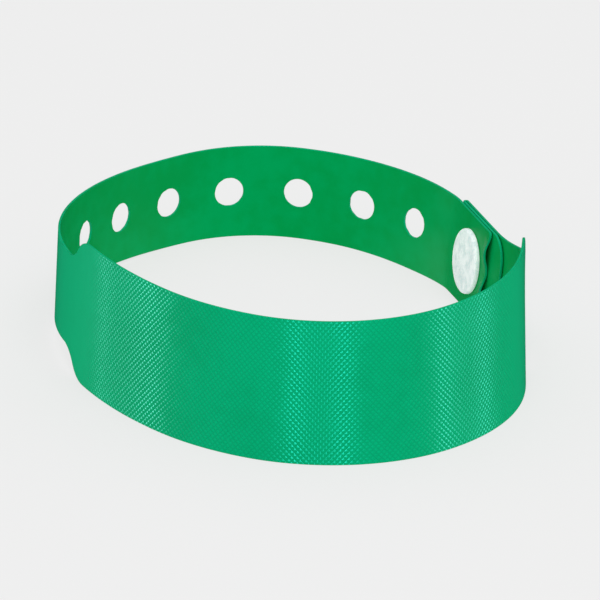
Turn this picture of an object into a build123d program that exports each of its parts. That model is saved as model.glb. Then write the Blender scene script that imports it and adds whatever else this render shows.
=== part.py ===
"""Vinyl event wristband, fastened: one strip of thin sheet and a two-part plastic snap.

Frame: +Z up, millimetres. The band stands on its long edge. The wide face is to the front, at -Y, and
the snap is at the back right. The origin is on the floor, under the middle of the loop.
"""

import os
from math import ceil, cos, radians, sin, tan
from typing import NamedTuple

from build123d import *

# Sheet
FACE_WIDTH = 25.0
TAIL_WIDTH = 16.0
EDGE_STEP = (FACE_WIDTH - TAIL_WIDTH) / 2
VINYL = 0.4
LAYER_GAP = 0.15
LAYER_PITCH = VINYL + LAYER_GAP

# Loop on the floor, with the snap's plan point as its start, run clockwise seen from above
LOOP_DEPTH = 104.5
START_HEADING = -70.1
FLAT_BEFORE_SNAP = 7.5
FLAT_AFTER_SNAP = 15.0

# Where the strip changes width and where it ends, along its middle from the snap
RIGHT_SHOULDER = 29.3
LEFT_SHOULDER = 150.4
SHOULDER_LENGTH = 9.0
RIGHT_SLOPE_RUN = 16.5
LEFT_SLOPE_RUN = 59.3
SLOPE_BLEND = 5.0
FOLD_BEFORE_SNAP = 7.2
LINING_PAST_SNAP = 13.0
LINING_CORNER = 5.0
TAIL_PAST_SNAP = 8.0
TAIL_CORNER = 1.0
LAYERS_JOIN = 40.0
LAYERS_PART = 17.0

# Sizing holes in the tail
SIZING_HOLE_DIAMETER = 5.0
SIZING_HOLES = 7
SIZING_HOLE_PITCH = 11.9
LAST_HOLE_BEFORE_SNAP = 19.8

# Snap
SNAP_DIAMETER = 11.0
POST_DIAMETER = 3.0
POST_HEAD_DIAMETER = 3.6
SNAP_FIT = 0.1
POST_HOLE_DIAMETER = POST_HEAD_DIAMETER + 2 * SNAP_FIT
STUD_DISC = 1.0
CAP_HEIGHT = 1.1
CAP_ROOF = 0.4
HEAD_SHARE = 2 / 3
RIM_ROUND = 0.45

# The sheet is made a little too wide, then trimmed. It has one cross-section for each few degrees of turn.
RULING_SPARE = 2.0
STATION_TURN = 5.0
ROOM = LOOP_DEPTH


class Bend(NamedTuple):
    """One round part of the loop: how far it turns, and its radius as a share of the loop's depth."""

    turn: float
    radius_share: float | None


# The two bends with no share get the radii that close the loop.
BENDS = (
    Bend(turn=21.0, radius_share=None),
    Bend(turn=46.1, radius_share=0.371),
    Bend(turn=66.1, radius_share=0.292),
    Bend(turn=23.9, radius_share=0.416),
    Bend(turn=22.1, radius_share=None),
    Bend(turn=72.6, radius_share=0.508),
    Bend(turn=54.0, radius_share=0.214),
    Bend(turn=43.1, radius_share=0.415),
    Bend(turn=11.1, radius_share=0.143),
)


class Lean(NamedTuple):
    """How far the top of the sheet leans outward, at a share of the loop."""

    share: float
    degrees: float


LEANS = (
    Lean(share=0.047, degrees=6.4),
    Lean(share=0.12, degrees=-1.8),
    Lean(share=0.35, degrees=-3.1),
    Lean(share=0.57, degrees=-1.4),
    Lean(share=0.75, degrees=0.3),
    Lean(share=0.87, degrees=3.8),
    Lean(share=0.93, degrees=7.6),
    Lean(share=0.97, degrees=6.4),
)


def along(heading: float) -> Vector:
    """Unit step along the strip."""
    return Vector(cos(radians(heading)), sin(radians(heading)))


def outward(heading: float) -> Vector:
    """Unit step out of the loop, level."""
    return Vector(-sin(radians(heading)), cos(radians(heading)))


def bend_radii() -> list[float]:
    """Radius of each bend, with the two free ones solved so that the loop closes."""
    gap = along(START_HEADING) * (FLAT_BEFORE_SNAP + FLAT_AFTER_SNAP)
    free = []
    heading = START_HEADING
    for bend in BENDS:
        step = outward(heading - bend.turn) - outward(heading)
        if bend.radius_share is None:
            free.append(step)
        else:
            gap += step * (bend.radius_share * LOOP_DEPTH)
        heading -= bend.turn
    first, second = free
    area = first.X * second.Y - first.Y * second.X
    solved = iter(
        (
            (second.X * gap.Y - second.Y * gap.X) / area,
            (first.Y * gap.X - first.X * gap.Y) / area,
        )
    )
    return [next(solved) if b.radius_share is None else b.radius_share * LOOP_DEPTH for b in BENDS]


RADII = bend_radii()
LOOP_LENGTH = FLAT_BEFORE_SNAP + FLAT_AFTER_SNAP + sum(
    radius * radians(bend.turn) for radius, bend in zip(RADII, BENDS)
)


def plan_point(distance: float) -> tuple[Vector, float]:
    """Plan point and heading of the strip at a distance from the snap, which is the plan's zero."""
    run = (distance + FLAT_BEFORE_SNAP) % LOOP_LENGTH
    flat = FLAT_BEFORE_SNAP + FLAT_AFTER_SNAP
    if run <= flat:
        return along(START_HEADING) * (run - FLAT_BEFORE_SNAP), START_HEADING
    point, heading, run = along(START_HEADING) * FLAT_AFTER_SNAP, START_HEADING, run - flat
    for radius, bend in zip(RADII, BENDS):
        turn = min(bend.turn, run / radians(1) / radius)
        point += (outward(heading - turn) - outward(heading)) * radius
        heading -= turn
        run -= radius * radians(bend.turn)
        if run <= 0:
            break
    return point, heading


def lean_at(distance: float) -> float:
    """Lean of the sheet in degrees: level at the closure, and a smooth curve through the rows of LEANS."""
    share = (distance / LOOP_LENGTH) % 1.0
    if not LEANS[0].share < share < LEANS[-1].share:
        return LEANS[0].degrees
    row = max(i for i, lean in enumerate(LEANS) if lean.share <= share)
    start, end = LEANS[row], LEANS[row + 1]
    width, rise = end.share - start.share, end.degrees - start.degrees
    slopes = [
        0.0
        if i in (0, len(LEANS) - 1)
        else (LEANS[i + 1].degrees - LEANS[i - 1].degrees) / (LEANS[i + 1].share - LEANS[i - 1].share) * width
        for i in (row, row + 1)
    ]
    t = (share - start.share) / width
    bow = t * t * (3 * rise - 2 * slopes[0] - slopes[1]) + t**3 * (slopes[0] + slopes[1] - 2 * rise)
    return start.degrees + t * slopes[0] + bow


def smooth_step(value: float) -> float:
    """Zero below 0, one above 1 and a smooth rise between."""
    value = min(max(value, 0.0), 1.0)
    return value * value * (3 - 2 * value)


def layer_offset(distance: float) -> float:
    """How far outside the lining's layer the strip runs: the snap end is one layer out, the tail one in."""
    change = LAYERS_JOIN - LAYERS_PART
    outer = smooth_step((LAYERS_JOIN - distance) / change)
    inner = smooth_step((distance - LOOP_LENGTH + LAYERS_JOIN) / change)
    return LAYER_PITCH * (outer - inner)


def plan_middle() -> Vector:
    """Middle of the loop's plan box, taken over both long edges of the sheet's outer side."""
    spots = []
    for degree in range(int(LOOP_LENGTH)):
        point, heading = plan_point(degree)
        for height in (0.0, FACE_WIDTH if RIGHT_SHOULDER < degree < LEFT_SHOULDER else TAIL_WIDTH):
            reach = (height - TAIL_WIDTH / 2) * tan(radians(lean_at(degree))) + VINYL / 2
            spots.append(point + outward(heading) * (reach + layer_offset(degree)))
    xs, ys = [spot.X for spot in spots], [spot.Y for spot in spots]
    return Vector((min(xs) + max(xs)) / 2, (min(ys) + max(ys)) / 2)


MIDDLE = plan_middle()


def section_plane(distance: float, offset: float = 0.0, height: float = TAIL_WIDTH / 2) -> Plane:
    """Plane across the strip: x is out through the sheet, y is up its ruling, z runs along it."""
    point, heading = plan_point(distance)
    side, lean = outward(heading), radians(lean_at(distance))
    origin = point - MIDDLE + side * ((height - TAIL_WIDTH / 2) * tan(lean)) + Vector(0, 0, height)
    out = side * cos(lean) - Vector(0, 0, sin(lean))
    return Plane(origin=origin + out * offset, x_dir=out, z_dir=along(heading))


def sheet_plane(distance: float, offset: float = 0.0, height: float = TAIL_WIDTH / 2) -> Plane:
    """Plane on the sheet: x runs along the strip, y is up its ruling, z is into the loop."""
    section = section_plane(distance, offset, height)
    return Plane(origin=section.origin, x_dir=section.z_dir, z_dir=section.x_dir * -1)


def tail_height(distance: float) -> float:
    """Height of the tail's or the snap end's middle over the floor."""
    point = plan_point(distance)[0]
    left = point.X < MIDDLE.X
    shoulder, slope_run = (LEFT_SHOULDER, LEFT_SLOPE_RUN) if left else (RIGHT_SHOULDER, RIGHT_SLOPE_RUN)
    share = (point.Y - plan_point(shoulder)[0].Y) / slope_run
    return TAIL_WIDTH / 2 + EDGE_STEP * min(max(1 - share, 0.0), 1.0)


def stations() -> list[float]:
    """Distances of the sheet's cross-sections, from the fold round the loop to the tail's end."""
    found = [-FOLD_BEFORE_SNAP, 0.0, FLAT_AFTER_SNAP]
    reached = FLAT_AFTER_SNAP
    for radius, bend in zip(RADII, BENDS):
        length = radius * radians(bend.turn)
        parts = ceil(bend.turn / STATION_TURN)
        found += [reached + length * (part + 1) / parts for part in range(parts)]
        reached += length
    return found + [LOOP_LENGTH, LOOP_LENGTH + TAIL_PAST_SNAP]


def side_outline(shoulder: float, slope_run: float) -> Sketch:
    """Side view of what is kept of the sheet: the wide face, one shoulder and the narrow part."""
    half = SHOULDER_LENGTH / 2
    fall = EDGE_STEP / slope_run

    def long_edge(wide: float, narrow: float) -> None:
        """One long edge from the front to the back, with the shoulder's two arcs and the slope's blend."""
        start = (shoulder - half, wide)
        turn_end = (shoulder + half, narrow - fall * half)
        middle = (shoulder, (start[1] + turn_end[1]) / 2)
        slope_end = (shoulder + slope_run - SLOPE_BLEND, narrow - fall * (slope_run - SLOPE_BLEND))
        level = (shoulder + slope_run + SLOPE_BLEND, narrow - EDGE_STEP)
        Line((-ROOM, wide), start)
        TangentArc(start, middle, tangent=(1, 0))
        TangentArc(turn_end, middle, tangent=(-1, 0))
        Line(turn_end, slope_end)
        TangentArc(level, slope_end, tangent=(-1, 0))
        Line(level, (ROOM, level[1]))

    with BuildSketch(Plane.YZ, mode=Mode.PRIVATE) as outline:
        with BuildLine():
            long_edge(0.0, EDGE_STEP)
            long_edge(FACE_WIDTH, FACE_WIDTH - EDGE_STEP)
            Line((-ROOM, 0), (-ROOM, FACE_WIDTH))
            Line((ROOM, 0), (ROOM, TAIL_WIDTH))
        make_face()
    return outline.sketch


def ruling_plane(distance: float, height: float) -> Plane:
    """Plane square to the ruling: x runs along the strip, y is out through the sheet, z is up the ruling."""
    sheet = sheet_plane(distance, height=height)
    return Plane(origin=sheet.origin, x_dir=sheet.x_dir, z_dir=sheet.y_dir)


def end_corners(plane: Plane, radius: float) -> Sketch:
    """What is cut away to round the two corners of a free end that lies at the plane's own zero."""
    width = TAIL_WIDTH / plane.y_dir.Z
    with BuildSketch(plane, mode=Mode.PRIVATE) as corners:
        with Locations((-radius, 0)):
            Rectangle(radius + LAYER_GAP, 2 * width, align=(Align.MIN, Align.CENTER))
        RectangleRounded(2 * width, width, radius, align=(Align.MAX, Align.CENTER), mode=Mode.SUBTRACT)
    return corners.sketch


# Shape that both long edges are trimmed to: the left half and the right half have their own shoulder.
with BuildPart() as trim:
    for side, shoulder, slope_run in (
        (-ROOM, LEFT_SHOULDER, LEFT_SLOPE_RUN),
        (ROOM, RIGHT_SHOULDER, RIGHT_SLOPE_RUN),
    ):
        shoulder_y = (plan_point(shoulder)[0] - MIDDLE).Y
        extrude(side_outline(shoulder_y, slope_run), amount=side)

with BuildPart() as band:
    # Strip from the fold round the loop to the tail's end
    for station in stations():
        with BuildSketch(section_plane(station, layer_offset(station))):
            with Locations((0, EDGE_STEP)):
                Rectangle(VINYL, FACE_WIDTH + 2 * RULING_SPARE)
    loft(ruled=True)
    # Fold of the snap end and its turned-in lining
    with BuildSketch(ruling_plane(-FOLD_BEFORE_SNAP, -RULING_SPARE)):
        with Locations((0, LAYER_PITCH / 2)):
            Circle((LAYER_PITCH + VINYL) / 2)
            Circle(LAYER_GAP / 2, mode=Mode.SUBTRACT)
        with Locations((LAYER_PITCH, LAYER_PITCH / 2)):
            Rectangle(2 * LAYER_PITCH, 4 * LAYER_PITCH, mode=Mode.SUBTRACT)
        Rectangle(FOLD_BEFORE_SNAP + LINING_PAST_SNAP, VINYL, align=(Align.MIN, Align.CENTER))
    extrude(amount=FACE_WIDTH + 2 * RULING_SPARE)
    # Long edges
    add(trim.part, mode=Mode.INTERSECT)
    # Rounded corners of the tail's and the lining's free ends
    for distance, offset, radius in (
        (TAIL_PAST_SNAP, -LAYER_PITCH, TAIL_CORNER),
        (LINING_PAST_SNAP, 0.0, LINING_CORNER),
    ):
        free_end = sheet_plane(distance, offset, tail_height(distance))
        extrude(end_corners(free_end, radius), amount=LAYER_PITCH / 2, both=True, mode=Mode.SUBTRACT)
    # Sizing holes
    for hole in range(SIZING_HOLES):
        distance = LOOP_LENGTH - LAST_HOLE_BEFORE_SNAP - hole * SIZING_HOLE_PITCH
        with Locations(Location(sheet_plane(distance, layer_offset(distance), tail_height(distance)))):
            Cylinder(SIZING_HOLE_DIAMETER / 2, TAIL_WIDTH / 2, mode=Mode.SUBTRACT)
    # Hole for the post through all three layers
    with Locations(Location(sheet_plane(0.0, height=tail_height(0.0)))):
        Cylinder(POST_HOLE_DIAMETER / 2, 4 * LAYER_PITCH, mode=Mode.SUBTRACT)
band.part.label = "band"


def rims(piece: Part) -> ShapeList:
    """The piece's widest round edges, from the inner one to the outer one."""
    return piece.edges().filter_by(GeomType.CIRCLE).group_by(SortBy.RADIUS)[-1].sort_by(snap_axis)


# Snap: heights along its axis are from the middle of the lining, out of the loop being positive.
snap_profile = ruling_plane(0.0, tail_height(0.0))
snap_axis = Axis(snap_profile.origin, snap_profile.y_dir)
STACK = LAYER_PITCH + VINYL / 2
CAP_BASE = -STACK - SNAP_FIT
CAP_TOP = CAP_BASE - CAP_HEIGHT
BORE_END = CAP_TOP + CAP_ROOF
POST_END = BORE_END + SNAP_FIT
DISC_BASE = STACK + SNAP_FIT
POST_NECK = BORE_END + (CAP_BASE - BORE_END) * HEAD_SHARE

with BuildPart() as snap_stud:
    with BuildSketch(snap_profile):
        with Locations((0, DISC_BASE)):
            Rectangle(SNAP_DIAMETER / 2, STUD_DISC, align=(Align.MIN, Align.MIN))
        with Locations((0, POST_END)):
            Rectangle(POST_DIAMETER / 2, DISC_BASE - POST_END, align=(Align.MIN, Align.MIN))
        with Locations((0, POST_END)):
            Rectangle(POST_HEAD_DIAMETER / 2, POST_NECK - POST_END, align=(Align.MIN, Align.MIN))
    revolve(axis=snap_axis)
    fillet(rims(snap_stud.part)[-1], radius=RIM_ROUND)
snap_stud.part.label = "snap_stud"

with BuildPart() as snap_cap:
    with BuildSketch(snap_profile):
        with Locations((0, CAP_TOP)):
            Rectangle(SNAP_DIAMETER / 2, CAP_HEIGHT, align=(Align.MIN, Align.MIN))
        with Locations((0, BORE_END)):
            Rectangle(
                POST_DIAMETER / 2 + SNAP_FIT,
                CAP_BASE - BORE_END,
                align=(Align.MIN, Align.MIN),
                mode=Mode.SUBTRACT,
            )
            Rectangle(
                POST_HEAD_DIAMETER / 2 + SNAP_FIT,
                POST_NECK + SNAP_FIT - BORE_END,
                align=(Align.MIN, Align.MIN),
                mode=Mode.SUBTRACT,
            )
    revolve(axis=snap_axis)
    fillet(rims(snap_cap.part)[0], radius=RIM_ROUND)
snap_cap.part.label = "snap_cap"

os.makedirs("parts", exist_ok=True)
export_step(band.part, "parts/band.step")
export_step(snap_stud.part, "parts/snap_stud.step")
export_step(snap_cap.part, "parts/snap_cap.step")
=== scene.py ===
"""Looks of the vinyl event wristband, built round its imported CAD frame.

Frame: metres, +Z up, the wide face to the front at -Y. The strip's own geometry is worked out in
millimetres and turned into metres where its mesh is made.
"""

from __future__ import annotations

import logging
import math
import sys
from dataclasses import dataclass, field
from enum import Enum
from functools import cached_property

import bpy
import numpy as np
from mathutils import Matrix, Vector
from mathutils.geometry import delaunay_2d_cdt

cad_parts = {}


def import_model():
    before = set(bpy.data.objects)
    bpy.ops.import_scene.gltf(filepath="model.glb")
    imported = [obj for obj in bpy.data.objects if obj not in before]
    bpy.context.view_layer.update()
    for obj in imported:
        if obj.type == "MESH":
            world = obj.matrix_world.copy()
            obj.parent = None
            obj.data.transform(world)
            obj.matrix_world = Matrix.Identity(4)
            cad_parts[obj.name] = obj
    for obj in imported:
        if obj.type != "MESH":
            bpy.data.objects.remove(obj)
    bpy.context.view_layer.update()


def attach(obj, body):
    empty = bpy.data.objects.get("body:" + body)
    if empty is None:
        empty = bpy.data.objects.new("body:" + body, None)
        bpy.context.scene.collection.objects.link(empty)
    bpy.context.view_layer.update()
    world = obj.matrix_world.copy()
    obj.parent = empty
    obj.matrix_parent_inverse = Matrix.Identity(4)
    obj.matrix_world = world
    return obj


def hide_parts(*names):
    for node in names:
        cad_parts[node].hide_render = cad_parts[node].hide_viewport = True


MM = 0.001
LOG = logging.getLogger("wristband")
Rows = np.ndarray
Colour = tuple[float, float, float]
Object = bpy.types.Object
Node = bpy.types.Node
Socket = bpy.types.NodeSocket
Fed = Socket | float | tuple[float, ...]


class Piece(Enum):
    """The object's own pieces, by the name of the CAD node each one stands for."""

    BAND = "band"
    STUD = "snap_stud"
    CAP = "snap_cap"


class Slot(Enum):
    """The record's material slots."""

    VINYL = "vinyl"
    SNAP_PLASTIC = "snap_plastic"


class Skin(Enum):
    """Which part of the sheet a face belongs to, by its place in the band's list of materials."""

    OUTER = 0
    INNER = 1
    CUT_EDGE = 2


def smooth(share: Rows) -> Rows:
    """Share of a change, held between 0 and 1, with a soft start and end."""
    held = np.clip(share, 0.0, 1.0)
    return held * held * (3 - 2 * held)


def unit(steps: Rows) -> Rows:
    """The same steps, one a row, brought to length 1."""
    return steps / np.linalg.norm(steps, axis=1, keepdims=True)


def between(first: list[int], second: list[int]) -> list[list[int]]:
    """Faces between two closed lines of points: triangles where one line is a single point, repeated."""
    steps = zip(first, first[1:] + first[:1], second[1:] + second[:1], second)
    return [list(dict.fromkeys(corners)) for corners in steps]


def in_scene(name: str, data: bpy.types.ID) -> Object:
    """Puts a new object into the scene.

    Args:
        name: Name of the object.
        data: Its mesh, light or camera.

    Returns:
        The object.
    """
    made = bpy.data.objects.new(name, data)
    bpy.context.scene.collection.objects.link(made)
    return made


# Geometry of the strip


@dataclass(frozen=True)
class Bend:
    """One round part of the loop: its turn in degrees, and its radius as a share of the depth, if set."""

    turn: float
    radius_share: float | None = None


@dataclass(frozen=True)
class Lean:
    """How far the top of the sheet leans outward in degrees, at a share of the loop."""

    share: float
    degrees: float


@dataclass(frozen=True)
class LoopPlan:
    """Plan of the fastened strip: one straight part at the snap and nine round parts, run clockwise.

    Lengths are in millimetres, turns and headings in degrees.
    """

    depth: float = 104.5
    start_heading: float = -70.1
    flat_before: float = 7.5
    flat_after: float = 15.0
    bends: tuple[Bend, ...] = (
        Bend(21.0),
        Bend(46.1, 0.371),
        Bend(66.1, 0.292),
        Bend(23.9, 0.416),
        Bend(22.1),
        Bend(72.6, 0.508),
        Bend(54.0, 0.214),
        Bend(43.1, 0.415),
        Bend(11.1, 0.143),
    )
    leans: tuple[Lean, ...] = (
        Lean(0.047, 6.4),
        Lean(0.12, -1.8),
        Lean(0.35, -3.1),
        Lean(0.57, -1.4),
        Lean(0.75, 0.3),
        Lean(0.87, 3.8),
        Lean(0.93, 7.6),
        Lean(0.97, 6.4),
    )
    table_step: float = 0.02

    @cached_property
    def radii(self) -> list[float]:
        """Radius of each bend, with the two free ones solved so that the loop closes."""
        heading = math.radians(self.start_heading)
        gap = self._along(heading) * (self.flat_before + self.flat_after)
        free = []
        for bend in self.bends:
            turned = heading - math.radians(bend.turn)
            step = self._outward(turned) - self._outward(heading)
            if bend.radius_share is None:
                free.append(step)
            else:
                gap = gap + step * bend.radius_share * self.depth
            heading = turned
        solved = iter(np.linalg.solve(np.array(free).T, -gap))
        return [
            float(next(solved)) if bend.radius_share is None else bend.radius_share * self.depth
            for bend in self.bends
        ]

    @cached_property
    def length(self) -> float:
        """Length of the closed loop."""
        arcs = sum(radius * math.radians(bend.turn) for radius, bend in zip(self.radii, self.bends))
        return self.flat_before + self.flat_after + arcs

    @cached_property
    def table(self) -> tuple[Rows, Rows, Rows, Rows]:
        """Distance, x, y and heading in radians, sampled finely from before the snap to past the loop."""
        marks, headings = [-self.flat_before, self.flat_after], [self.start_heading] * 2
        for radius, bend in zip(self.radii, self.bends):
            marks.append(marks[-1] + radius * math.radians(bend.turn))
            headings.append(headings[-1] - bend.turn)
        marks.append(self.length + self.flat_after)
        headings.append(headings[-1])
        before = np.arange(0.0, self.flat_before, self.table_step)[::-1] * -1.0
        after = np.arange(self.table_step, self.length + 2 * self.flat_after, self.table_step)
        distance = np.concatenate([before, after])
        heading = np.radians(np.interp(distance, marks, headings))
        spots = []
        for rate in (np.cos(heading), np.sin(heading)):
            steps = (rate[1:] + rate[:-1]) / 2 * np.diff(distance)
            run = np.concatenate([[0.0], np.cumsum(steps)])
            spots.append(run - np.interp(0.0, distance, run))
        return distance, spots[0], spots[1], heading

    @staticmethod
    def _along(heading: float) -> Rows:
        """Unit step along the strip."""
        return np.array([math.cos(heading), math.sin(heading)])

    @staticmethod
    def _outward(heading: float) -> Rows:
        """Unit step out of the loop."""
        return np.array([-math.sin(heading), math.cos(heading)])

    def spot(self, distance: Rows) -> tuple[Rows, Rows, Rows]:
        """Plan point, from the snap's, and heading in radians at distances along the strip."""
        at, x, y, heading = self.table
        return np.interp(distance, at, x), np.interp(distance, at, y), np.interp(distance, at, heading)

    def lean(self, distance: Rows) -> Rows:
        """Lean of the sheet's top outward.

        Args:
            distance: Distances from the snap, in millimetres.

        Returns:
            Angles in radians, on a smooth curve through the rows of leans, and all alike at the closure.
        """
        shares = np.array([row.share for row in self.leans])
        degrees = np.array([row.degrees for row in self.leans])
        slopes = np.zeros_like(degrees)
        slopes[1:-1] = (degrees[2:] - degrees[:-2]) / (shares[2:] - shares[:-2])
        share = np.mod(np.asarray(distance, float) / self.length, 1.0)
        row = np.clip(np.searchsorted(shares, share) - 1, 0, len(shares) - 2)
        width = shares[row + 1] - shares[row]
        t = np.clip((share - shares[row]) / width, 0.0, 1.0)
        rise = degrees[row + 1] - degrees[row]
        first, second = slopes[row] * width, slopes[row + 1] * width
        bow = t * t * (3 * rise - 2 * first - second) + t**3 * (first + second - 2 * rise)
        value = degrees[row] + t * first + bow
        closure = (share <= shares[0]) | (share >= shares[-1])
        return np.radians(np.where(closure, degrees[0], value))


@dataclass(frozen=True)
class Shoulder:
    """Where the strip changes from the wide face to a narrow end, seen from the side."""

    distance: float
    slope_run: float


@dataclass(frozen=True)
class Holes:
    """The row of sizing holes in the tail."""

    diameter: float = 5.0
    count: int = 7
    pitch: float = 11.9
    last_before_snap: float = 19.8


@dataclass(frozen=True)
class StripShape:
    """The whole strip: how its flat cut lies in the loop.

    A point of the strip has three coordinates in millimetres: its run along the strip from the snap, its
    height up the ruling from the tail's level middle, and its depth, out of the strip's own outer side.
    """

    plan: LoopPlan = field(default_factory=LoopPlan)
    face_width: float = 25.0
    tail_width: float = 16.0
    vinyl: float = 0.4
    layer_gap: float = 0.15
    right: Shoulder = Shoulder(distance=29.3, slope_run=16.5)
    left: Shoulder = Shoulder(distance=150.4, slope_run=59.3)
    shoulder_length: float = 9.0
    slope_blend: float = 5.0
    fold_before_snap: float = 7.2
    lining_past_snap: float = 13.0
    lining_corner: float = 5.0
    tail_past_snap: float = 8.0
    tail_corner: float = 1.0
    layers_join: float = 40.0
    layers_part: float = 17.0
    holes: Holes = Holes()
    post_hole_diameter: float = 3.8
    clamped_past_snap: float = 5.6
    tail_curl: float = 0.8
    curl_wave: float = 7.2
    curl_power: float = 1.5
    edge_rounds: int = 8

    @property
    def edge_step(self) -> float:
        """How far each long edge of a narrow end lies inside the wide face's."""
        return (self.face_width - self.tail_width) / 2

    @property
    def layer_pitch(self) -> float:
        """From the middle of one layer to the middle of the next."""
        return self.vinyl + self.layer_gap

    @property
    def fold_end(self) -> float:
        """Run at which the fold ends and the turned-in lining starts."""
        return -self.fold_before_snap - math.pi * self.layer_pitch / 2

    @property
    def lining_post(self) -> float:
        """Run at which the post goes through the lining."""
        return self.fold_end - self.fold_before_snap

    @property
    def lining_end(self) -> float:
        """Run of the lining's free end."""
        return self.lining_post - self.lining_past_snap

    @property
    def tail_end(self) -> float:
        """Run of the tail's free end."""
        return self.plan.length + self.tail_past_snap

    @cached_property
    def middle(self) -> tuple[float, float]:
        """Middle of the loop's plan box, over both long edges of the sheet's outer side."""
        run = np.arange(int(self.plan.length), dtype=float)
        x, y, heading = self.plan.spot(run)
        wide = (run > self.right.distance) & (run < self.left.distance)
        tops = np.where(wide, self.face_width, self.tail_width)
        xs, ys = [], []
        for height in (np.zeros_like(run), tops):
            reach = (height - self.tail_width / 2) * np.tan(self.plan.lean(run)) + self.vinyl / 2
            reach += self.layer_offset(run)
            xs.append(x - np.sin(heading) * reach)
            ys.append(y + np.cos(heading) * reach)
        return (np.min(xs) + np.max(xs)) / 2, (np.min(ys) + np.max(ys)) / 2

    def layer_offset(self, run: Rows) -> Rows:
        """How far outside the lining's layer the strip lies.

        Args:
            run: Runs along the strip.

        Returns:
            One layer outside it at the snap end, one inside it at the tail, with smooth changes between.
        """
        change = self.layers_join - self.layers_part
        outer = smooth((self.layers_join - run) / change)
        inner = smooth((run - self.plan.length + self.layers_join) / change)
        return self.layer_pitch * (outer - inner)

    def curl(self, run: Rows, height: Rows) -> Rows:
        """How far the tail's free end, past the cap, curls in from the lining.

        Args:
            run: Runs along the strip.
            height: Heights up the ruling.

        Returns:
            Distances into the loop, in waves up the cut end.
        """
        free = np.maximum(run - self.plan.length - self.clamped_past_snap, 0.0)
        share = free / (self.tail_past_snap - self.clamped_past_snap)
        wave = 0.5 - 0.5 * np.cos(2 * math.pi * (self.tail_width / 2 - height) / self.curl_wave)
        return self.tail_curl * share**self.curl_power * wave

    def place(self, run: Rows, height: Rows, depth: Rows) -> Rows:
        """Points of the row frame for points of the strip.

        Args:
            run: Runs along the strip.
            height: Heights up the ruling from the tail's level middle.
            depth: Depths out of the strip's own outer side.

        Returns:
            One row of x, y and z in millimetres for each point.
        """
        run, height, depth = (np.asarray(value, float) for value in (run, height, depth))
        folded = run < -self.fold_before_snap
        bend = self.layer_pitch / 2
        turn = np.clip((-self.fold_before_snap - run) / bend, 0.0, math.pi)
        past_fold = np.maximum(self.fold_end - run, 0.0)
        extra = np.where(folded, past_fold - (bend + depth) * np.sin(turn), 0.0)
        layered = self.layer_offset(run) + depth - self.curl(run, height)
        offset = np.where(folded, bend + (bend + depth) * np.cos(turn), layered)
        distance = np.where(folded, -self.fold_before_snap, run)
        x, y, heading = self.plan.spot(distance)
        lean = self.plan.lean(distance)
        reach = height * np.sin(lean) + offset / np.cos(lean)
        return np.stack(
            [
                x - self.middle[0] + np.cos(heading) * extra - np.sin(heading) * reach,
                y - self.middle[1] + np.sin(heading) * extra + np.cos(heading) * reach,
                self.tail_width / 2 + height * np.cos(lean),
            ],
            axis=-1,
        )

    def long_edge(self, y: Rows, left: Rows, wide: float, narrow: float) -> Rows:
        """Height over the floor of one long edge, seen from the side.

        Args:
            y: Places of the edge's points in the row frame.
            left: Whether each point is on the left half.
            wide: The edge's height on the wide face.
            narrow: Its height just past the shoulder.

        Returns:
            Heights in millimetres.
        """
        half = self.shoulder_length / 2
        levels = []
        for shoulder in (self.right, self.left):
            past = y - (self.plan.spot(np.array(shoulder.distance))[1] - self.middle[1])
            fall = self.edge_step / shoulder.slope_run
            turn_end = narrow - fall * half
            rise = (turn_end - wide) / 2
            radius = (half**2 + rise**2) / (2 * abs(rise))
            bow_in = radius - np.sqrt(radius**2 - np.clip(past + half, 0.0, half) ** 2)
            bow_out = radius - np.sqrt(radius**2 - np.clip(half - past, 0.0, half) ** 2)
            blend_rise = fall * self.slope_blend
            blend_radius = (4 * self.slope_blend**2 + blend_rise**2) / (2 * blend_rise)
            to_level = np.clip(shoulder.slope_run + self.slope_blend - past, 0.0, 2 * self.slope_blend)
            blend = narrow - self.edge_step + blend_radius - np.sqrt(blend_radius**2 - to_level**2)
            sign = math.copysign(1.0, rise)
            level = np.where(past < 0, wide + sign * bow_in, turn_end - sign * bow_out)
            level = np.where(past > half, narrow - fall * past, level)
            levels.append(np.where(past > shoulder.slope_run - self.slope_blend, blend, level))
        return np.where(left, levels[1], levels[0])

    def cut_heights(self, run: Rows) -> tuple[Rows, Rows]:
        """Lower and upper cut edge of the strip, without the rounding of its ends.

        Args:
            run: Runs along the strip.

        Returns:
            Two rows of heights up the ruling.
        """
        distance = np.where(run < -self.fold_before_snap, -self.fold_before_snap, run)
        distance = np.where(run < self.fold_end, self.lining_post - run, distance)
        left = self.plan.spot(distance)[0] < self.middle[0]
        cos_lean = np.cos(self.plan.lean(distance))
        edges = []
        for wide, narrow in ((0.0, self.edge_step), (self.face_width, self.face_width - self.edge_step)):
            height = np.full_like(run, wide - self.tail_width / 2)
            for _ in range(self.edge_rounds):
                y = self.place(run, height, np.zeros_like(run))[:, 1]
                level = self.long_edge(y, left, wide, narrow)
                height = (level - self.tail_width / 2) / cos_lean
            edges.append(height)
        return edges[0], edges[1]

    def hole_centres(self) -> list[tuple[float, float, float]]:
        """Finds every punched hole, the post's three among them.

        Returns:
            Run, height and radius of each.
        """
        holes = self.holes
        last = self.plan.length - holes.last_before_snap
        found = [(last - index * holes.pitch, holes.diameter / 2) for index in range(holes.count)]
        found += [(run, self.post_hole_diameter / 2) for run in (self.plan.length, 0.0, self.lining_post)]
        centres = []
        for run, radius in found:
            low, high = self.cut_heights(np.array([run]))
            centres.append((run, float(low[0] + high[0]) / 2, radius))
        return centres


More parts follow.
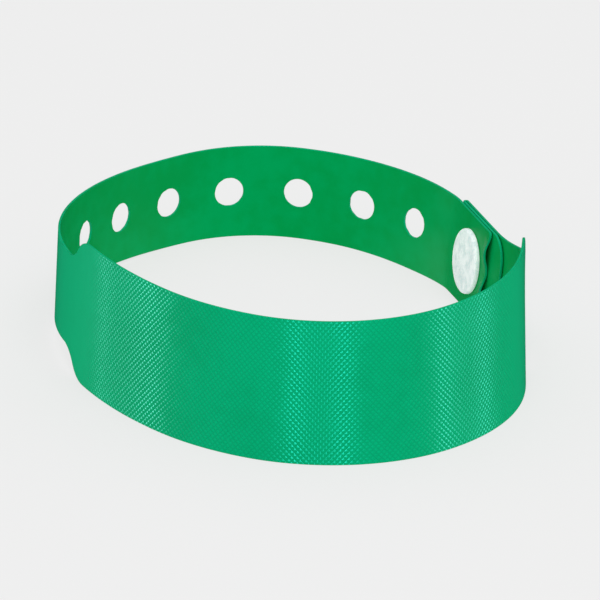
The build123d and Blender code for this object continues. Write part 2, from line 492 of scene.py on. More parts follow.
@dataclass(frozen=True)
class CutSheet:
    """The strip cut from a flat sheet, as a mesh of two skins and a rounded rim along every cut.

    The flat cut is meshed first and each of its points is then bent into place, so the sheet keeps its
    thickness and the pressed lattice keeps its pitch.
    """

    shape: StripShape = field(default_factory=StripShape)
    run_step: float = 0.5
    height_step: float = 0.8
    fold_step: float = 0.06
    outline_step: float = 0.4
    hole_step: float = 0.22
    rim_round: float = 0.09
    rim_turns: int = 3
    corner_turns: int = 11
    margin: float = 0.3
    probe: float = 0.03
    mesher_output: int = 2
    weld: float = 1e-6

    def _runs(self, first: float, last: float, step: float) -> Rows:
        """Chooses runs at even steps, and at finer ones round the fold.

        Args:
            first: First run.
            last: Run before which they stop.
            step: The even step.

        Returns:
            The runs in order.
        """
        start, end = self.shape.fold_end, -self.shape.fold_before_snap
        runs = np.arange(first, last, step)
        runs = runs[(runs < start - self.fold_step) | (runs > end + self.fold_step)]
        return np.sort(np.concatenate([runs, np.arange(start, end, self.fold_step)]))

    def _inset(self, runs: Rows) -> Rows:
        """How far the rounded corners of both ends take the long edges in.

        Args:
            runs: Runs along the strip.

        Returns:
            A distance for each run, 0 away from the corners.
        """
        shape = self.shape
        inset = np.zeros_like(runs)
        for radius, past in (
            (shape.tail_corner, runs - (shape.tail_end - shape.tail_corner)),
            (shape.lining_corner, shape.lining_end + shape.lining_corner - runs),
        ):
            inset += radius - np.sqrt(np.clip(radius**2 - np.clip(past, 0.0, None) ** 2, 0.0, None))
        return inset

    def _end(self, run: float, start: float, stop: float) -> Rows:
        """Points of a straight free end, without its corners."""
        heights = np.linspace(start, stop, int(abs(stop - start) / self.outline_step) + 1)[1:-1]
        return np.stack([np.full_like(heights, run), heights], -1)

    def _outline(self) -> Rows:
        """Draws the closed line round the cut sheet.

        Returns:
            Its points, counter-clockwise in run and height.
        """
        shape = self.shape
        first, last = shape.lining_end + shape.lining_corner, shape.tail_end - shape.tail_corner
        sweep = np.sin(np.linspace(0.0, math.pi / 2, self.corner_turns + 1)[1:])
        body = np.append(self._runs(first, last, self.outline_step), last)
        lining_run, tail_run = first - shape.lining_corner * sweep[::-1], last + shape.tail_corner * sweep
        runs = np.concatenate([lining_run, body, tail_run])
        low, high = shape.cut_heights(runs)
        low, high = low + self._inset(runs), high - self._inset(runs)
        return np.concatenate(
            [
                np.stack([runs, low], -1),
                self._end(shape.tail_end, low[-1], high[-1]),
                np.stack([runs, high], -1)[::-1],
                self._end(shape.lining_end, high[0], low[0]),
            ]
        )

    def _cuts(self) -> list[Rows]:
        """Draws every closed cut line.

        Returns:
            The outline, and each hole the other way round.
        """
        cuts = [self._outline()]
        for run, height, radius in self.shape.hole_centres():
            count = int(2 * math.pi * radius / self.hole_step)
            angle = -np.linspace(0.0, 2 * math.pi, count, endpoint=False)
            cuts.append(np.stack([run + radius * np.cos(angle), height + radius * np.sin(angle)], -1))
        return cuts

    @staticmethod
    def _inward(cut: Rows) -> Rows:
        """Unit steps from a cut line into the sheet, which lies on its left."""
        step = unit(np.roll(cut, -1, axis=0) - np.roll(cut, 1, axis=0))
        return np.stack([-step[:, 1], step[:, 0]], -1)

    def _grid(self) -> Rows:
        """Spreads points over the sheet.

        Returns:
            Run and height of each, none of them near a cut.
        """
        shape = self.shape
        runs = self._runs(shape.lining_end, shape.tail_end, self.run_step)
        rows = np.arange(-shape.tail_width / 2, shape.face_width, self.height_step) + self.height_step / 2
        low, high = shape.cut_heights(runs)
        inset = self._inset(runs) + self.margin
        run, height = np.meshgrid(runs, rows, indexing="ij")
        keep = (run > shape.lining_end + self.margin) & (run < shape.tail_end - self.margin)
        keep &= (height > (low + inset)[:, None]) & (height < (high - inset)[:, None])
        for centre, level, radius in shape.hole_centres():
            keep &= np.hypot(run - centre, height - level) > radius + self.margin
        return np.stack([run[keep], height[keep]], -1)

    def _step(self, run: Rows, height: Rows, on: float, up: float) -> Rows:
        """Unit steps in the row frame for a small step on the sheet, at points of it."""
        place, zero = self.shape.place, np.zeros_like(run)
        return unit(place(run + on, height + up, zero) - place(run - on, height - up, zero))

    def _frame(self, run: Rows, height: Rows) -> tuple[Rows, Rows, Rows]:
        """Unit steps along the strip, up its ruling and out of its outer side, at points of the sheet."""
        along, up = self._step(run, height, self.probe, 0.0), self._step(run, height, 0.0, self.probe)
        return along, up, unit(np.cross(up, along))

    def _flat_mesh(self, cuts: list[Rows], inwards: list[Rows]) -> tuple[Rows, Rows, list[list[int]]]:
        """Meshes the flat cut.

        Args:
            cuts: Every closed cut line.
            inwards: Unit steps from each line's points into the sheet.

        Returns:
            Its points, its triangles, and the line of points along each cut's rim.
        """
        lines, edges, start = [], [], 0
        for cut in cuts:
            line = list(range(start, start + len(cut)))
            edges += zip(line, line[1:] + line[:1])
            lines.append(line)
            start += len(cut)
        inset = [cut + inward * self.rim_round for cut, inward in zip(cuts, inwards)]
        points = [Vector(point) for point in np.concatenate([*inset, self._grid()])]
        meshed = delaunay_2d_cdt(points, edges, [], self.mesher_output, self.weld)
        spots, _, triangles, origins, _, _ = meshed
        spots, triangles = np.array([tuple(spot) for spot in spots]), np.array(triangles)
        middles = spots[triangles].mean(axis=1)
        keep = np.ones(len(triangles), bool)
        for run, height, radius in self.shape.hole_centres():
            keep &= np.hypot(middles[:, 0] - run, middles[:, 1] - height) > radius
        place_of = {source: index for index, sources in enumerate(origins) for source in sources}
        return spots, triangles[keep], [[place_of[source] for source in line] for line in lines]

    def _rim(self) -> list[tuple[float, float, float]]:
        """Rounds both rims of a cut.

        Returns:
            Inset, depth and turn of each line between the two skins.
        """
        rim = []
        for angle in np.linspace(0.0, math.pi / 2, self.rim_turns + 1)[1:]:
            inset, drop = (self.rim_round * (1 - turn) for turn in (math.sin(angle), math.cos(angle)))
            rim.append((inset, self.shape.vinyl / 2 - drop, angle))
        return rim + [(inset, -depth, math.pi - angle) for inset, depth, angle in reversed(rim)]

    def build(self, name: str) -> Object:
        """Bends the flat mesh into place on both sides, and joins its two skins with the rims.

        Args:
            name: Name of the new object.

        Returns:
            The object, with its faces sorted into the three skins.
        """
        cuts = self._cuts()
        inwards = [self._inward(cut) for cut in cuts]
        spots, triangles, lines = self._flat_mesh(cuts, inwards)
        place, half, count = self.shape.place, self.shape.vinyl / 2, len(spots)
        run, height = spots.T
        out = self._frame(run, height)[2]
        points = [place(run, height, np.full_like(run, depth)) for depth in (half, -half)]
        normals, sheet = [out, -out], [spots, spots]
        faces = triangles[:, ::-1].tolist() + (triangles + count).tolist()
        # Painted shade: the turned-in lining's outer skin takes the darker inside finish, standing in for
        # the shade between the layers.
        turned_in = run[triangles].mean(axis=1) < -self.shape.fold_before_snap
        skins = np.where(turned_in, Skin.INNER.value, Skin.OUTER.value).tolist()
        skins += [Skin.INNER.value] * len(triangles)
        total = 2 * count
        for cut, inward, first in zip(cuts, inwards, lines):
            size, rows = len(cut), [first]
            along, up, out = self._frame(*cut.T)
            away = -(along * inward[:, :1] + up * inward[:, 1:])
            for inset, depth, angle in self._rim():
                line = cut + inward * inset
                points.append(place(*line.T, np.full(size, depth)))
                normals.append(out * math.cos(angle) + away * math.sin(angle))
                sheet.append(line)
                rows.append(list(range(total, total + size)))
                total += size
            rows.append([point + count for point in first])
            for upper, lower in zip(rows, rows[1:]):
                faces += between(upper, lower)
                skins += [Skin.CUT_EDGE.value] * size
        points, normals, sheet = (np.concatenate(part) for part in (points, normals, sheet))
        return self._object(name, points, normals, sheet, faces, skins)

    @staticmethod
    def _object(
        name: str, points: Rows, normals: Rows, sheet: Rows, faces: list[list[int]], skins: list[int]
    ) -> Object:
        """Makes a mesh object with the sheet's own coordinates as its UV map, in millimetres.

        Args:
            name: Name of the object.
            points: Its points, in millimetres.
            normals: A normal for each point.
            sheet: Run and height of each point.
            faces: Points of each face.
            skins: Place of each face's material.

        Returns:
            The object.
        """
        mesh = bpy.data.meshes.new(name)
        mesh.from_pydata((points * MM).tolist(), [], faces)
        mesh.polygons.foreach_set("material_index", skins)
        mesh.polygons.foreach_set("use_smooth", [True] * len(faces))
        corners = np.zeros(len(mesh.loops), np.int32)
        mesh.loops.foreach_get("vertex_index", corners)
        layer = mesh.uv_layers.new(name="sheet_mm")
        layer.data.foreach_set("uv", sheet[corners].astype(np.float32).ravel())
        mesh.update()
        mesh.normals_split_custom_set_from_vertices(normals.tolist())
        return in_scene(name, mesh)


@dataclass(frozen=True)
class Turned:
    """One row of a turned profile, in millimetres: distance from the axis, and place along it, outward."""

    radius: float
    out: float


@dataclass(frozen=True)
class SnapSizes:
    """Sizes of the two-part plastic snap, in millimetres."""

    diameter: float = 11.0
    post_diameter: float = 3.0
    head_diameter: float = 3.6
    fit: float = 0.1
    disc: float = 1.0
    cap_height: float = 1.1
    cap_roof: float = 0.4
    head_share: float = 2 / 3
    rim_round: float = 0.45
    base_round: float = 0.12
    face_radius: float = 5.0
    dome: float = 0.22


@dataclass(frozen=True)
class Snap:
    """Both halves of the snap, turned round its axis."""

    shape: StripShape
    sizes: SnapSizes = field(default_factory=SnapSizes)
    segments: int = 128
    rim_turns: int = 8
    dome_rings: int = 8
    probe: float = 0.1
    sharp_from: float = math.radians(40.0)

    def _domed(self, face: float, away: float) -> list[Turned]:
        """Turns a low dome on a round face.

        Args:
            face: Place of the dome's middle.
            away: 1 or -1, from the face into the piece.

        Returns:
            Rows from the middle out to the side wall.
        """
        sizes = self.sizes
        shares = [ring / self.dome_rings for ring in range(self.dome_rings)]
        rows = [Turned(sizes.face_radius * share, face + away * sizes.dome * share**2) for share in shares]
        return rows + self._rounded(sizes.diameter / 2, face + away * sizes.dome, away, sizes.rim_round)

    def _rounded(self, radius: float, face: float, away: float, size: float) -> list[Turned]:
        """Turns a rounded corner between a face and the side wall.

        Args:
            radius: Radius of the side wall.
            face: Place of the face.
            away: 1 or -1, from the face into the piece.
            size: Radius of the corner.

        Returns:
            Rows from the face to the side wall.
        """
        rows = []
        for angle in np.linspace(0.0, math.pi / 2, self.rim_turns + 1):
            inset, drop = (size * (1 - turn) for turn in (math.sin(angle), math.cos(angle)))
            rows.append(Turned(radius - inset, face + away * drop))
        return rows

    def _profile(self, piece: Piece) -> list[Turned]:
        """Turns one half of the snap.

        Args:
            piece: The cap or the stud.

        Returns:
            Rows from the middle of its domed face round to the middle of its bore or post.
        """
        sizes, fit = self.sizes, self.sizes.fit
        stack = self.shape.layer_pitch + self.shape.vinyl / 2
        cap_base = -stack - fit
        cap_top = cap_base - sizes.cap_height
        bore_end = cap_top + sizes.cap_roof
        neck = bore_end + (cap_base - bore_end) * sizes.head_share
        if piece is Piece.CAP:
            face, base, away, play, end = cap_top, cap_base, 1.0, fit, bore_end
        else:
            base = stack + fit
            face, away, play, end = base + sizes.disc, -1.0, 0.0, bore_end + fit
        post, head = sizes.post_diameter / 2 + play, sizes.head_diameter / 2 + play
        neck += play
        corners = ((post, base), (post, neck), (head, neck), (head, end), (0.0, end))
        side = self._rounded(sizes.diameter / 2, base, -away, sizes.base_round)
        return [*self._domed(face, away), *reversed(side), *(Turned(*corner) for corner in corners)]

    def _axis(self) -> tuple[Vector, Vector, Vector, Vector]:
        """Finds the snap's axis in the row frame.

        Returns:
            Its point in the middle of the lining, and unit steps along the strip, up and out.
        """
        run = np.array([self.shape.plan.length])
        low, high = self.shape.cut_heights(run)
        height = (low + high) / 2
        probe = np.array([0.0, self.probe])
        middle = self.shape.place(run, height, np.full(1, self.shape.layer_pitch))[0]
        ruling = self.shape.place(np.repeat(run, 2), np.repeat(height, 2) + probe, np.zeros(2))
        up = Vector(ruling[1] - ruling[0]).normalized()
        heading = float(self.shape.plan.spot(run)[2][0])
        along = Vector((math.cos(heading), math.sin(heading), 0.0))
        return Vector(middle), along, up, up.cross(along).normalized()

    def build(self, piece: Piece) -> Object:
        """Makes one half of the snap.

        Args:
            piece: The cap or the stud.

        Returns:
            The turned object.
        """
        middle, along, up, out = self._axis()
        points, faces, lines = [], [], []
        for row in self._profile(piece):
            start = len(points)
            turns = 1 if row.radius == 0.0 else self.segments
            for index in range(turns):
                angle = 2 * math.pi * index / self.segments
                reach = (along * math.cos(angle) + up * math.sin(angle)) * row.radius
                points.append((middle + reach + out * row.out) * MM)
            lines.append([start + (index if turns > 1 else 0) for index in range(self.segments)])
        for first, second in zip(lines, lines[1:]):
            faces += between(first, second)
        mesh = bpy.data.meshes.new(piece.value)
        mesh.from_pydata(points, [], faces)
        mesh.polygons.foreach_set("use_smooth", [True] * len(faces))
        mesh.update()
        if piece is Piece.STUD:
            mesh.flip_normals()
        mesh.set_sharp_from_angle(angle=self.sharp_from)
        return in_scene(piece.value, mesh)


# Finishes


class NodeSheet:
    """Adds nodes to one node tree and joins them. Its numbers are places of a mix node's colour sockets."""

    first_colour: int = 6
    second_colour: int = 7
    mixed_colour: int = 2

    def __init__(self, tree: bpy.types.NodeTree) -> None:
        """Starts on an empty tree.

        Args:
            tree: The tree of a material, a world or a node group.
        """
        self.tree = tree
        tree.nodes.clear()

    def add(self, kind: str, **settings: object) -> Node:
        """Adds a node.

        Args:
            kind: The node's type name.
            settings: Properties of the node to set.

        Returns:
            The node.
        """
        node = self.tree.nodes.new(kind)
        for name, value in settings.items():
            setattr(node, name, value)
        return node

    def feed(self, node: Node, inputs: dict[str | int, Fed]) -> None:
        """Links inputs to outputs of other nodes, or sets their own values.

        Args:
            node: The node to feed.
            inputs: Another node's output, a number or a colour for each input's name or place.
        """
        for key, value in inputs.items():
            if isinstance(value, Socket):
                self.tree.links.new(value, node.inputs[key])
            else:
                node.inputs[key].default_value = value

    def math(self, operation: str, *values: Fed) -> Socket:
        """A math node's result.

        Args:
            operation: Its operation.
            values: Its inputs in order.

        Returns:
            The output socket.
        """
        node = self.add("ShaderNodeMath", operation=operation)
        self.feed(node, dict(enumerate(values)))
        return node.outputs[0]

    def fit(self, value: Fed, low: float, high: float, to_low: float, to_high: float) -> Socket:
        """A smooth change from one range to another.

        Args:
            value: The value to map.
            low: Start of its range.
            high: End of its range.
            to_low: Result at the start.
            to_high: Result at the end.

        Returns:
            The output socket.
        """
        node = self.add("ShaderNodeMapRange", interpolation_type="SMOOTHSTEP")
        self.feed(node, dict(enumerate((value, low, high, to_low, to_high))))
        return node.outputs[0]

    def blend(self, share: Fed, first: Fed, second: Fed) -> Socket:
        """A mix of two colours.

        Args:
            share: How much of the second one is in the mix.
            first: First colour.
            second: Second colour.

        Returns:
            The output socket.
        """
        node = self.add("ShaderNodeMix", data_type="RGBA")
        self.feed(node, {"Factor": share, self.first_colour: first, self.second_colour: second})
        return node.outputs[self.mixed_colour]

    def noise(self, place: Socket, scale: float, detail: float) -> Socket:
        """A noise value about one half.

        Args:
            place: Coordinates.
            scale: Waves for each unit of the coordinates.
            detail: Octaves.

        Returns:
            The output socket.
        """
        node = self.add("ShaderNodeTexNoise")
        self.feed(node, {"Vector": place, "Scale": scale, "Detail": detail})
        return node.outputs[0]

    def part(self, place: Socket, axis: str) -> Socket:
        """One coordinate of a place.

        Args:
            place: Coordinates.
            axis: X, Y or Z.

        Returns:
            The output socket.
        """
        node = self.add("ShaderNodeSeparateXYZ")
        self.feed(node, {0: place})
        return node.outputs[axis]

    def bump(self, height: Socket, depth: float, normal: Socket | None = None) -> Socket:
        """A surface with relief.

        Args:
            height: Height of the relief, 1 at its full depth.
            depth: That depth in millimetres.
            normal: The surface that the relief is on, if it isn't the plain one.

        Returns:
            The output socket.
        """
        node = self.add("ShaderNodeBump")
        self.feed(node, {"Height": height, "Distance": depth * MM})
        if normal is not None:
            self.feed(node, {"Normal": normal})
        return node.outputs["Normal"]


def new_material(name: str) -> tuple[bpy.types.Material, NodeSheet, Node]:
    """Starts a material.

    Args:
        name: Name of the material.

    Returns:
        The material, its nodes and its shader.
    """
    material = bpy.data.materials.new(name)
    material.use_nodes = True
    sheet = NodeSheet(material.node_tree)
    shader = sheet.add("ShaderNodeBsdfPrincipled")
    sheet.feed(sheet.add("ShaderNodeOutputMaterial"), {"Surface": shader.outputs["BSDF"]})
    return material, sheet, shader


class Effect(Enum):
    """Effects of the materials, each one a node group.

    The first is in all vinyl, the second in all plastic, and the third on the wide face.
    """

    UNEVEN_SHEET = "uneven sheet"
    CLOUDY_PLASTIC = "cloudy plastic"
    LATTICE = "raised lattice"


@dataclass(frozen=True)
class Layer:
    """One noise: its waves for each unit of the place, its octaves, and its share in height and tone."""

    scale: float
    detail: float
    in_height: float
    in_tone: float


@dataclass(frozen=True)
class Mottle:
    """An uneven surface: its noises, and the range of their sum that its tone spreads over."""

    layers: tuple[Layer, ...]
    tone_low: float
    tone_high: float


@dataclass(frozen=True)
class Effects:
    """The node groups of the shared effects. They give only values, never a shader."""

    soft_sheet: Mottle = Mottle(
        layers=(
            Layer(scale=0.05, detail=1.0, in_height=1.0, in_tone=0.6),
            Layer(scale=0.35, detail=3.0, in_height=0.18, in_tone=0.4),
        ),
        tone_low=0.36,
        tone_high=0.64,
    )
    milky_plastic: Mottle = Mottle(
        layers=(
            Layer(scale=650.0, detail=3.0, in_height=0.65, in_tone=0.65),
            Layer(scale=2600.0, detail=2.0, in_height=0.35, in_tone=0.35),
        ),
        tone_low=0.36,
        tone_high=0.62,
    )
    lattice_along: float = 0.96
    lattice_up: float = 1.01
    lattice_ridge: float = 0.45
    patch_scale: float = 0.35
    patch_detail: float = 2.0
    patch_noise: tuple[float, float] = (0.25, 0.75)
    patch_height: tuple[float, float] = (0.90, 1.06)

    @staticmethod
    def _start(effect: Effect, outputs: tuple[str, ...]) -> tuple[NodeSheet, Socket, Node]:
        """Starts a group that reads one place.

        Args:
            effect: Its name.
            outputs: Names of the values that it gives.

        Returns:
            Its nodes, the place and its end node.
        """
        tree = bpy.data.node_groups.new(effect.value, "ShaderNodeTree")
        tree.interface.new_socket("Place", in_out="INPUT", socket_type="NodeSocketVector")
        for name in outputs:
            tree.interface.new_socket(name, in_out="OUTPUT", socket_type="NodeSocketFloat")
        sheet = NodeSheet(tree)
        place = sheet.add("NodeGroupInput").outputs["Place"]
        return sheet, place, sheet.add("NodeGroupOutput")

    def _mottle(self, effect: Effect, mottle: Mottle) -> None:
        """Makes the group of an uneven surface, with a height and a tone.

        Args:
            effect: The group's name.
            mottle: The surface.
        """
        sheet, place, end = self._start(effect, ("Height", "Tone"))
        height = tone = 0.0
        for layer in mottle.layers:
            noise = sheet.noise(place, layer.scale, layer.detail)
            height = sheet.math("MULTIPLY_ADD", noise, layer.in_height, height)
            tone = sheet.math("MULTIPLY_ADD", noise, layer.in_tone, tone)
        tone = sheet.fit(tone, mottle.tone_low, mottle.tone_high, 0.0, 1.0)
        sheet.feed(end, {"Height": height, "Tone": tone})

    def _lattice(self) -> None:
        """Rows of small raised pyramids with soft ridges: their even form, and their height in patches."""
        sheet, place, end = self._start(Effect.LATTICE, ("Height", "Pyramid"))
        along = sheet.math("MULTIPLY", sheet.part(place, "X"), 2 / self.lattice_along)
        up = sheet.math("MULTIPLY", sheet.part(place, "Y"), 2 / self.lattice_up)
        phases = [sheet.math(operation, along, up) for operation in ("ADD", "SUBTRACT")]
        waves = [sheet.math("PINGPONG", phase, 1.0) for phase in phases]
        pyramid = sheet.math("SMOOTH_MIN", *waves, self.lattice_ridge)
        noise = sheet.noise(place, self.patch_scale, self.patch_detail)
        patch = sheet.fit(noise, *self.patch_noise, *self.patch_height)
        sheet.feed(end, {"Pyramid": pyramid, "Height": sheet.math("MULTIPLY", pyramid, patch)})

    def build(self) -> None:
        """Makes every group once."""
        self._mottle(Effect.UNEVEN_SHEET, self.soft_sheet)
        self._mottle(Effect.CLOUDY_PLASTIC, self.milky_plastic)
        self._lattice()

    @staticmethod
    def use(sheet: NodeSheet, effect: Effect, place: Socket) -> bpy.types.NodeOutputs:
        """Puts a group into a material.

        Args:
            sheet: The material's nodes.
            effect: Which effect.
            place: Coordinates for it.

        Returns:
            The group's outputs.
        """
        node = sheet.add("ShaderNodeGroup", node_tree=bpy.data.node_groups[effect.value])
        sheet.feed(node, {"Place": place})
        return node.outputs


@dataclass(frozen=True)
class VinylFinish:
    """Soft vinyl in one colour, smooth or pressed with a fine lattice. Its lengths are in millimetres."""

    name: str
    light: Colour
    dark: Colour
    tint: Colour
    roughness: float
    specular: float
    ior: float = 1.45
    unevenness: float = 0.10
    emboss: float = 0.0
    emboss_start: float = 0.0
    emboss_end: float = 0.0
    emboss_soft: float = 12.0
    # Painted shade: a darker colour laid into the lattice's hollows.
    painted_shade_top: float = 0.5
    painted_shade_share: float = 0.30
    painted_shade_tone: float = 0.6
    # Painted light: a lighter colour towards the sides that turn away from the camera.
    painted_grazing_light: Colour | None = None
    painted_light_start: float = 0.35
    painted_light_end: float = 0.95

    def build(self) -> bpy.types.Material:
        """Makes the material.

        Returns:
            The material.
        """
        material, sheet, shader = new_material(self.name)
        place = sheet.add("ShaderNodeUVMap", uv_map="sheet_mm").outputs["UV"]
        uneven = Effects.use(sheet, Effect.UNEVEN_SHEET, place)
        colour = sheet.blend(uneven["Tone"], (*self.dark, 1.0), (*self.light, 1.0))
        normal = sheet.bump(uneven["Height"], self.unevenness)
        if self.emboss:
            lattice = Effects.use(sheet, Effect.LATTICE, place)
            run = sheet.part(place, "X")
            rise = sheet.fit(run, self.emboss_start, self.emboss_start + self.emboss_soft, 0.0, 1.0)
            fall = sheet.fit(run, self.emboss_end - self.emboss_soft, self.emboss_end, 1.0, 0.0)
            mask = sheet.math("MULTIPLY", rise, fall)
            normal = sheet.bump(sheet.math("MULTIPLY", lattice["Height"], mask), self.emboss, normal)
            # Painted shade: the lattice's hollows are blended towards a darker copy of the dark colour,
            # only where the lattice is pressed.
            painted_hollow_shade = sheet.fit(lattice["Pyramid"], 0.0, self.painted_shade_top, self.painted_shade_share, 0.0)
            shaded_colour = (*(self.painted_shade_tone * part for part in self.dark), 1.0)
            colour = sheet.blend(sheet.math("MULTIPLY", painted_hollow_shade, mask), colour, shaded_colour)
        # Painted light: the colour turns lighter where the surface turns away from the camera, lifting the
        # sides that the lamps leave darker.
        if self.painted_grazing_light:
            facing = sheet.add("ShaderNodeLayerWeight").outputs["Facing"]
            share = sheet.fit(facing, self.painted_light_start, self.painted_light_end, 0.0, 1.0)
            colour = sheet.blend(share, colour, (*self.painted_grazing_light, 1.0))
        inputs = {
            "Base Color": colour,
            "Normal": normal,
            "Roughness": self.roughness,
            "IOR": self.ior,
            "Specular IOR Level": self.specular,
            "Specular Tint": (*self.tint, 1.0),
        }
        sheet.feed(shader, inputs)
        return material


@dataclass(frozen=True)
class PlasticFinish:
    """Milky moulded plastic with soft clouds in it. Its lengths are in millimetres.

    The glow stands in for light that passes through it.
    """

    name: str
    light: Colour
    dark: Colour
    roughness: float = 0.38
    unevenness: float = 0.03
    scatter: float = 0.12
    scatter_radius: Colour = (1.0, 1.0, 1.0)
    scatter_depth: float = 0.5
    glow: float = 0.21
    glow_colour: Colour = (0.85, 0.97, 1.0)

    def build(self) -> bpy.types.Material:
        """Makes the material.

        Returns:
            The material.
        """
        material, sheet, shader = new_material(self.name)
        place = sheet.add("ShaderNodeTexCoord").outputs["Object"]
        cloudy = Effects.use(sheet, Effect.CLOUDY_PLASTIC, place)
        inputs = {
            "Base Color": sheet.blend(cloudy["Tone"], (*self.dark, 1.0), (*self.light, 1.0)),
            "Normal": sheet.bump(cloudy["Height"], self.unevenness),
            "Roughness": self.roughness,
            "Emission Color": (*self.glow_colour, 1.0),
            "Emission Strength": self.glow,
            "Subsurface Weight": self.scatter,
            "Subsurface Radius": self.scatter_radius,
            "Subsurface Scale": self.scatter_depth * MM,
        }
        sheet.feed(shader, inputs)
        return material


# Studio


@dataclass(frozen=True)
class SoftBox:
    """One soft light. Azimuth is from the front towards the right, in degrees; sizes are in metres."""

    name: str
    azimuth: float
    elevation: float
    width: float
    power: float
    height: float = 0.20
    distance: float = 1.2
    only_in_gloss: bool = True

    def build(self, target: Vector) -> Object:
        """Makes the light.

        Args:
            target: Point that it faces.

        Returns:
            The light's object.
        """
        data = bpy.data.lights.new(self.name, "AREA")
        data.shape = "RECTANGLE"
        data.size, data.size_y, data.energy = self.width, self.height, self.power
        made = in_scene(self.name, data)
        turn, rise = math.radians(self.azimuth), math.radians(self.elevation)
        away = Vector((math.sin(turn) * math.cos(rise), -math.cos(turn) * math.cos(rise), math.sin(rise)))
        made.location = target + away * self.distance
        made.rotation_euler = (-away).to_track_quat("-Z", "Y").to_euler()
        made.visible_diffuse = not self.only_in_gloss
        return made


@dataclass(frozen=True)
class Studio:
    """Pale floor, pale surroundings and soft boxes."""

    pale: float = 0.858
    glow: float = 0.80
    floor_size: float = 3.0
    ambient: float = 0.74
    bounce: float = 1.08
    in_gloss: float = 0.01
    white: tuple[float, ...] = (1.0, 1.0, 1.0, 1.0)
    boxes: tuple[SoftBox, ...] = (
        SoftBox("left strip", azimuth=-108.0, elevation=-7.5, width=0.14, power=1.15),
        SoftBox("front strip", azimuth=-1.0, elevation=-5.0, width=0.12, power=1.35),
        SoftBox("right strip", azimuth=92.0, elevation=-9.0, width=0.12, power=1.0),
        SoftBox(
            "overhead box",
            azimuth=15.0,
            elevation=65.0,
            width=0.8,
            power=6.0,
            height=0.8,
            distance=1.3,
            only_in_gloss=False,
        ),
    )

    def _by_ray(self, sheet: NodeSheet, seen: float, given: float) -> Socket:
        """A brightness that differs for the camera, for light and for gloss, where it is nearly black.

        Args:
            sheet: Nodes to add it to.
            seen: What the camera sees.
            given: What lights the object.

        Returns:
            The output socket.
        """
        ray = sheet.add("ShaderNodeLightPath").outputs
        level = sheet.fit(ray["Is Camera Ray"], 0.0, 1.0, given, seen)
        return sheet.math("MULTIPLY", level, sheet.fit(ray["Is Glossy Ray"], 0.0, 1.0, 1.0, self.in_gloss))

    def _floor(self) -> Object:
        """Makes a level sheet with a glow of its own. Gloss looks through it to the strips below it.

        Returns:
            The floor.
        """
        half = self.floor_size / 2
        mesh = bpy.data.meshes.new("floor")
        corners = [(-half, -half, 0.0), (half, -half, 0.0), (half, half, 0.0), (-half, half, 0.0)]
        mesh.from_pydata(corners, [], [(0, 1, 2, 3)])
        made = in_scene("floor", mesh)
        made.visible_glossy = False
        made.visible_shadow = False
        material, sheet, shader = new_material("pale floor")
        spare, seen = self.pale * (1 - self.glow), self.pale * self.glow
        inputs = {
            "Base Color": self._by_ray(sheet, spare, spare),
            "Specular IOR Level": 0.0,
            "Roughness": 1.0,
            "Emission Color": self.white,
            "Emission Strength": self._by_ray(sheet, seen, seen * self.bounce),
        }
        sheet.feed(shader, inputs)
        material.cycles.emission_sampling = "NONE"
        mesh.materials.append(material)
        return made

    def _surroundings(self) -> None:
        """Even pale light from all round."""
        world = bpy.data.worlds.new("pale surroundings")
        world.use_nodes = True
        sheet = NodeSheet(world.node_tree)
        back = sheet.add("ShaderNodeBackground")
        sheet.feed(back, {"Color": self.white, "Strength": self._by_ray(sheet, self.pale, self.ambient)})
        sheet.feed(sheet.add("ShaderNodeOutputWorld"), {"Surface": back.outputs["Background"]})
        bpy.context.scene.world = world

    def build(self, target: Vector) -> None:
        """Makes the studio.

        Args:
            target: Middle of the object.
        """
        self._surroundings()
        self._floor()
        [box.build(target) for box in self.boxes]
        bpy.context.scene.view_settings.view_transform = "Standard"


@dataclass(frozen=True)
class PhotoCamera:
    """Long lens at the photo's angle.

    It is aimed so that its pivot, the snap's plan point, lies as many pixels right of the middle and
    below it as in the photo.
    """

    pivot: Vector
    distance: float = 4.5
    elevation: float = 21.778
    roll: float = -1.369
    pixels_per_mm: float = 5.9641
    pivot_right: float = 171.769
    pivot_down: float = 5.389
    picture: float = 600.0
    sensor: float = 36.0
    clip: tuple[float, float] = (0.1, 20.0)

    def build(self) -> Object:
        """Makes the scene's camera.

        Returns:
            The camera's object.
        """
        rise, roll = math.radians(self.elevation), math.radians(self.roll)
        level_up = Vector((0.0, math.sin(rise), math.cos(rise)))
        side = Vector((1.0, 0.0, 0.0))
        right = side * math.cos(roll) - level_up * math.sin(roll)
        up = side * math.sin(roll) + level_up * math.cos(roll)
        back = right.cross(up)
        pixel = MM / self.pixels_per_mm
        aim = self.pivot - right * self.pivot_right * pixel + up * self.pivot_down * pixel
        place = self.pivot + back * self.distance
        away = (place - aim).normalized()
        right = up.cross(away).normalized()
        up = away.cross(right)
        data = bpy.data.cameras.new("photo camera")
        data.sensor_width = self.sensor
        data.lens = self.distance * self.sensor / (self.picture * pixel)
        data.clip_start, data.clip_end = self.clip
        made = in_scene("photo camera", data)
        made.matrix_world = Matrix.Translation(place) @ Matrix((right, up, away)).transposed().to_4x4()
        bpy.context.scene.camera = made
        return made


# Assembly


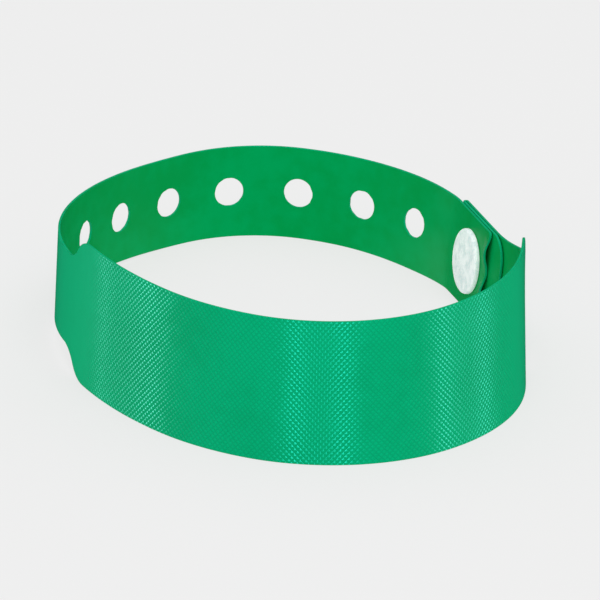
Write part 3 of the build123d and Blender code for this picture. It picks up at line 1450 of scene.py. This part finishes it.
@dataclass(frozen=True)
class Palette:
    """Every finish of the wristband."""

    face: VinylFinish = VinylFinish(
        name="pressed vinyl",
        light=(0.0, 0.53, 0.205),
        dark=(0.0, 0.48, 0.176),
        tint=(0.04, 1.0, 0.88),
        roughness=0.28,
        specular=1.0,
        ior=1.7,
        emboss=0.068,
        emboss_start=44.0,
        emboss_end=147.0,
        painted_grazing_light=(0.0, 0.66, 0.27),
    )
    inside: VinylFinish = VinylFinish(
        name="smooth vinyl",
        light=(0.0, 0.400, 0.106),
        dark=(0.0, 0.352, 0.076),
        tint=(0.05, 1.0, 0.85),
        roughness=0.36,
        specular=0.08,
    )
    cut: VinylFinish = VinylFinish(
        name="cut vinyl edge",
        light=(0.0, 0.45, 0.20),
        dark=(0.0, 0.38, 0.15),
        tint=(0.2, 1.0, 0.8),
        roughness=0.40,
        specular=0.2,
    )
    cap: PlasticFinish = PlasticFinish(
        "milky cap plastic", light=(1.0, 1.0, 1.0), dark=(0.66, 0.75, 0.75)
    )
    stud: PlasticFinish = PlasticFinish(
        "milky stud plastic", light=(0.84, 0.88, 0.86), dark=(0.66, 0.77, 0.71)
    )


@dataclass(frozen=True)
class Wristband:
    """The whole object: the band and both halves of its snap."""

    shape: StripShape = field(default_factory=StripShape)
    palette: Palette = field(default_factory=Palette)

    @staticmethod
    def _settle(made: Object, piece: Piece, slot: Slot) -> Object:
        """Joins a piece to the frame and reports it.

        Args:
            made: The piece.
            piece: The CAD node that it stands for.
            slot: Its material slot; not used.

        Returns:
            The piece.
        """
        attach(made, "root")
        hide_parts(piece.value)
        mesh = made.data
        mesh.calc_loop_triangles()
        LOG.info("%s: %d points, %d triangles", made.name, len(mesh.vertices), len(mesh.loop_triangles))
        return made

    def build_band(self) -> Object:
        """Makes the strip of vinyl.

        Returns:
            The band's object.
        """
        made = CutSheet(self.shape).build("vinyl_band")
        for finish in (self.palette.face, self.palette.inside, self.palette.cut):
            made.data.materials.append(finish.build())
        return self._settle(made, Piece.BAND, Slot.VINYL)

    def build_snap(self) -> list[Object]:
        """Makes both halves of the snap.

        Returns:
            The cap's and the stud's objects.
        """
        snap = Snap(self.shape)
        found = []
        for piece, finish, name in (
            (Piece.CAP, self.palette.cap, "cap_of_snap"),
            (Piece.STUD, self.palette.stud, "stud_of_snap"),
        ):
            made = snap.build(piece)
            made.name = name
            made.data.materials.append(finish.build())
            found.append(self._settle(made, piece, Slot.SNAP_PLASTIC))
        return found


def main() -> None:
    """Builds the wristband round its frame, then the studio and the camera."""
    logging.basicConfig(level=logging.INFO, format="%(name)s: %(message)s", stream=sys.stdout)
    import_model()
    Effects().build()
    wristband = Wristband()
    wristband.build_band()
    wristband.build_snap()
    middle = wristband.shape.middle
    Studio().build(Vector((0.0, 0.0, wristband.shape.face_width / 2 * MM)))
    PhotoCamera(pivot=Vector((-middle[0] * MM, -middle[1] * MM, 0.0))).build()


if __name__ == "__main__":
    main()
